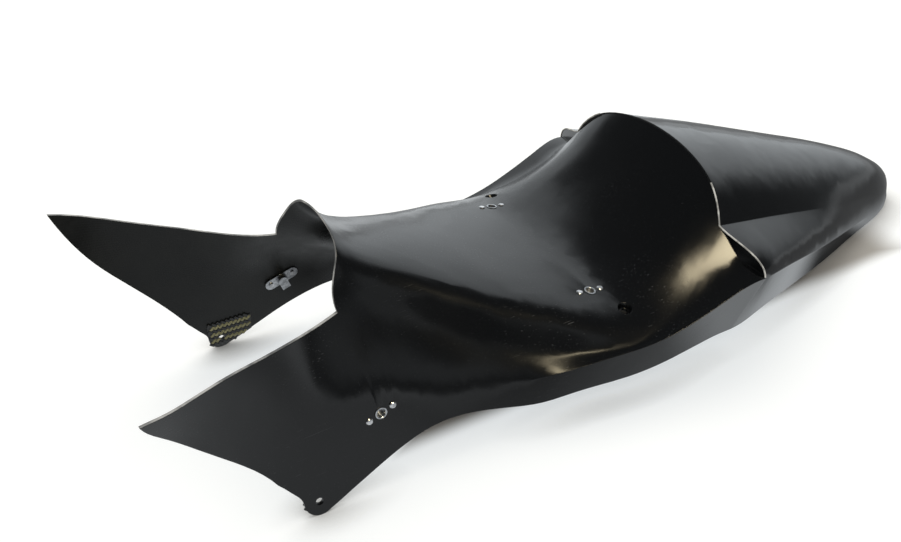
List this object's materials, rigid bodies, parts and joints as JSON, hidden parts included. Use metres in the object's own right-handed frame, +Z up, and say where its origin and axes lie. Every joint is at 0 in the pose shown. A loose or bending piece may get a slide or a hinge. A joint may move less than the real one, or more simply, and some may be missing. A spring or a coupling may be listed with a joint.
{
  "type": "motorbike seat cowl",
  "caption": "Hollow motorbike seat cowl: dished seat, stepped tail hump and forward side panels, with riveted quarter-turn clips and bolt holes.",
  "frame": {"origin": "on the floor under the middle of the outline, as the cowl stands on its panel lobes and tail end", "axes": "+X rearward, +Y to the right-hand side, +Z up"},
  "size_m": [0.937, 0.3366, 0.2061],
  "materials": {
    "laminate": "black gel coat, gloss on the tail and satin on seat and panels",
    "clip_metal": "zinc-plated pressed steel",
    "rivet_metal": "plain domed rivets",
    "weave": "yellow and black woven cloth set in resin"
  },
  "bodies": {
    "root": {"cowl_shell": "laminate", "clip_panel_left": "clip_metal", "clip_panel_right": "clip_metal", "clip_seat_left": "clip_metal", "clip_seat_right": "clip_metal", "rivets": "rivet_metal", "patch_left": "weave", "patch_right": "weave"}
  },
  "joints": []
}
